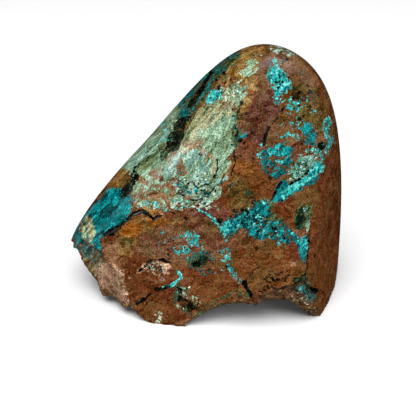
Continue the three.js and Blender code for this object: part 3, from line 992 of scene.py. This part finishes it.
def chips(n, where, size_mm):
    """Angular chips: two numbers that belong to each chip, and how far its edge is."""
    inputs = {"Vector": where, "Scale": 1 / size_mm}
    inner = n.add("ShaderNodeTexVoronoi", inputs)
    edge = n.add("ShaderNodeTexVoronoi", inputs, feature="DISTANCE_TO_EDGE")
    parts = n.add("ShaderNodeSeparateColor", {0: inner.outputs["Color"]})
    return parts.outputs[0], parts.outputs[1], edge.outputs["Distance"]


def tones(n, p, kind):
    """A kind's colour: its middle one, broken up by its stain, its dark and its light one."""
    flows = kind in FLOWING
    pattern = p.flowing if flows else p.chipped if kind in CHIPPED else p.mottled
    stain = p.green_stain if flows or kind in CHIPPED else p.rock_stain
    dark, middle, light, stained = (seen(colour) for colour in PALETTE[kind])
    less_dark, less_light = PLAINER.get(kind, (0.0, 0.0))
    shade = n.mix(n.between(stain, *STAINED), middle, stained)
    darker = n.between(pattern, DARKER[0] - less_dark, DARKER[1] - less_dark, 1.0, 0.0)
    shade = n.mix(darker, shade, dark)
    lighter = n.between(pattern, LIGHTER[0] + less_light, LIGHTER[1] + less_light)
    shade = n.mix(lighter, shade, light)
    if kind in LINES:
        deep, pale = LINES[kind]
        lines = p.flow_lines if flows else p.gaps if kind in CHIPPED else p.rock_lines
        shade = n.mix(n.math("MULTIPLY", lines, deep), shade, dark)
        if pale:
            shade = n.mix(n.math("MULTIPLY", p.pale_lines, pale), shade, light)
    return shade


def cover(n, p, kind):
    """How far a kind covers what lies under it: its field, with its edge broken up."""
    ragged, soft = EDGES[kind]
    if kind in CHIPPED_EDGES:
        wobble = n.math("MULTIPLY", n.math("SUBTRACT", p.chance, 0.5), 2 * ragged)
        wobble = n.math("ADD", wobble, n.math("SUBTRACT", p.grainy, 0.5))
    else:
        edges = p.green if kind in FLOWING else p.rock_edges
        wobble = n.math("MULTIPLY", n.math("SUBTRACT", edges, 0.5), 4 * ragged)
    return n.between(n.math("ADD", n.field(kind), wobble), -soft, soft)


def scattered(n, here, size_mm, girth_varies, least):
    """Scattered grains: how far each point is inside one, and a number that belongs to it."""
    node = n.add("ShaderNodeTexVoronoi", {"Vector": here, "Scale": 1 / size_mm})
    parts = n.add("ShaderNodeSeparateColor", {0: node.outputs["Color"]})
    reach = n.math("ADD", n.math("MULTIPLY", parts.outputs[1], girth_varies), least)
    inside = n.between(n.math("SUBTRACT", reach, node.outputs["Distance"]), -0.04, 0.06)
    return inside, parts.outputs[0]


def host_rock(n, p, colour):
    """The brown rock's drifts, and the dark and rusty grains all through it."""
    drift = n.noise(p.here, *NOISES["drift"])
    for shade, levels, shares in DRIFTS:
        colour = n.mix(n.between(drift, *levels, *shares), colour, seen(shade))
    for size_mm, rarity, shade in ROCK_GRAINS:
        inside, chance = scattered(n, p.here, size_mm, 0.28, 0.12)
        present = n.math("GREATER_THAN", chance, rarity)
        amount = n.math("MULTIPLY", n.math("MULTIPLY", inside, present), ROCK_GRAIN_SHARE)
        colour = n.mix(amount, colour, seen(shade))
    return colour


def strewn(n, p, colour, kind, size_mm):
    """Small grains of a mineral strewn round where it lies, fewer with distance."""
    inside, chance = scattered(n, p.warped, size_mm, 0.3, 0.15)
    likely = n.between(n.field(kind), -0.98, 0.1, 0.0, 0.225)
    present = n.math("GREATER_THAN", n.math("ADD", chance, likely), 1.0)
    return n.mix(n.math("MULTIPLY", inside, present), colour, seen(PALETTE[kind][1]))


def crumbs(n, p):
    """The colour of broken rock."""
    shade = n.mix(n.between(p.chipped, 0.44, 0.49), seen(CRUMB_DARK), seen(CRUMB_MIDDLE))
    shade = n.mix(n.between(p.chipped, 0.52, 0.58), shade, seen(CRUMB_LIGHT))
    return n.mix(n.math("MULTIPLY", p.gaps, 0.8), shade, seen(CRUMB_GAP))


def stone_material():
    material = bpy.data.materials.new("mixed_copper_stone")
    material.use_nodes = True
    n = Nodes(material)
    p = Patterns(n)
    colour = tones(n, p, "host")
    shown = {}
    for kind in KINDS:
        shown[kind] = cover(n, p, kind)
        colour = n.mix(shown[kind], colour, tones(n, p, kind))
        if kind == "olive":
            colour = host_rock(n, p, colour)
    colour = strewn(n, p, colour, "teal", 0.62)
    colour = strewn(n, p, colour, "turquoise", 0.5)
    broken_here = n.field("broken")
    spared = n.math("MULTIPLY", shown["pink"], SPARED_PINK)
    spared = n.math("MAXIMUM", spared, n.math("MULTIPLY", shown["teal"], SPARED_TEAL))
    amount = n.math("MULTIPLY", broken_here, n.math("SUBTRACT", CRUMB_SHARE, spared))
    colour = n.mix(amount, colour, crumbs(n, p))
    grit = n.noise(p.here, *NOISES["grit"])
    colour = n.times(colour, n.between(grit, 0.36, 0.64, 1 - GRIT, 1 + GRIT))
    # Painted shade under the stone and in its arch, from the under layer.
    colour = n.mix(n.math("MULTIPLY", n.field("under"), UNDER_SHADE_SHARE), colour, seen(UNDER_SHADE_COLOUR))

    gloss = n.between(p.rock, 0.4, 0.6, *GLOSS)
    rough = n.math("ADD", gloss, n.math("MULTIPLY", broken_here, BROKEN_DULLS), clamp=True)
    bumps = n.shares((0.45, p.chip_tone), (0.25, p.flake_tone), (0.3, p.grainy))
    height = n.math("MULTIPLY", bumps, n.math("MULTIPLY", broken_here, CRUMB_HEIGHT))
    height = n.math("SUBTRACT", height, n.math("MULTIPLY", shown["black"], BLACK_SINKS))
    bump = n.add("ShaderNodeBump", {"Distance": MM, "Strength": 1.0, "Height": height})
    inputs = {"Base Color": colour, "Specular IOR Level": SHEEN, "Roughness": rough,
              "Normal": bump.outputs["Normal"]}
    shader = n.add("ShaderNodeBsdfPrincipled", inputs)
    n.add("ShaderNodeOutputMaterial", {"Surface": shader.outputs["BSDF"]})
    return material


stone = bpy.data.objects.new("stone_skin", stone_mesh())
bpy.context.collection.objects.link(stone)
stone.data.materials.append(stone_material())
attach(stone, "root")
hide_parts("stone")


# The ceiling's light: its strength low down and overhead, and the heights between which it grows.
SKY_LOW, SKY_HIGH = 0.006, 0.6
SKY_FROM, SKY_FULL = 0.5, 1.0
# Square lamps: name, place and width in metres, and watts.
LAMPS = [
    ("key", (-0.17, -0.43, 1.43), 1.1, 22.0),
    ("left", (-0.434, -0.643, 0.234), 0.12, 0.9),
    ("right", (0.95, -0.6, 0.95), 1.3, 7.6),
]
LAMPS_LOOK_AT = np.array([0.0, 0.0, 0.03])
FLOOR_HALF = 2.5
FLOOR_WHITE = (0.95, 0.95, 0.95, 1)


def pale_floor():
    """A white table, which the polish doesn't mirror."""
    mesh = bpy.data.meshes.new("floor")
    half = FLOOR_HALF
    corners = [(-half, -half, 0), (half, -half, 0), (half, half, 0), (-half, half, 0)]
    mesh.from_pydata(corners, [], [(0, 1, 2, 3)])
    floor = bpy.data.objects.new("floor", mesh)
    bpy.context.collection.objects.link(floor)
    material = bpy.data.materials.new("pale_floor")
    material.use_nodes = True
    shader = material.node_tree.nodes["Principled BSDF"]
    shader.inputs["Base Color"].default_value = FLOOR_WHITE
    shader.inputs["Roughness"].default_value = 0.9
    shader.inputs["Specular IOR Level"].default_value = 0.1
    mesh.materials.append(material)
    floor.visible_glossy = False


def soft_light(name, place, size, watts):
    """A square light that looks at the middle of the stone."""
    lamp = bpy.data.lights.new(name, "AREA")
    lamp.shape = "SQUARE"
    lamp.size = size
    lamp.energy = watts
    light = bpy.data.objects.new(name, lamp)
    light.location = place
    away = np.array(place) - LAMPS_LOOK_AT
    light.rotation_euler = (math.acos(away[2] / np.linalg.norm(away)), 0, math.atan2(away[0], -away[1]))
    bpy.context.collection.objects.link(light)


def sky():
    """A soft white ceiling that is dim near the horizon, and plain white behind the floor."""
    world = bpy.data.worlds.new("studio")
    world.use_nodes = True
    n = Nodes(world)
    up = n.add("ShaderNodeSeparateXYZ", {0: n.add("ShaderNodeTexCoord").outputs["Generated"]})
    light = n.between(up.outputs["Z"], SKY_FROM, SKY_FULL, SKY_LOW, SKY_HIGH)
    rays = n.add("ShaderNodeLightPath")
    strength = n.add("ShaderNodeMix", {"Factor": rays.outputs["Is Camera Ray"], 2: light, 3: 1.0})
    background = n.add("ShaderNodeBackground", {"Strength": strength.outputs[0]})
    n.add("ShaderNodeOutputWorld", {"Surface": background.outputs["Background"]})
    bpy.context.scene.world = world


def studio():
    sky()
    for lamp in LAMPS:
        soft_light(*lamp)
    bpy.context.scene.view_settings.view_transform = "Standard"


def photo_camera():
    lens = bpy.data.cameras.new("camera")
    lens.sensor_width = SENSOR_MM
    lens.lens = SENSOR_MM * FOCAL_PX / PHOTO_SIZE
    lens.clip_start = 0.01
    camera = bpy.data.objects.new("camera", lens)
    camera.location = (EYE + TO_ORIGIN) * MM
    camera.rotation_euler = (math.radians(90 - CAMERA_DOWN), 0, 0)
    bpy.context.collection.objects.link(camera)
    bpy.context.scene.camera = camera


pale_floor()
studio()
photo_camera()
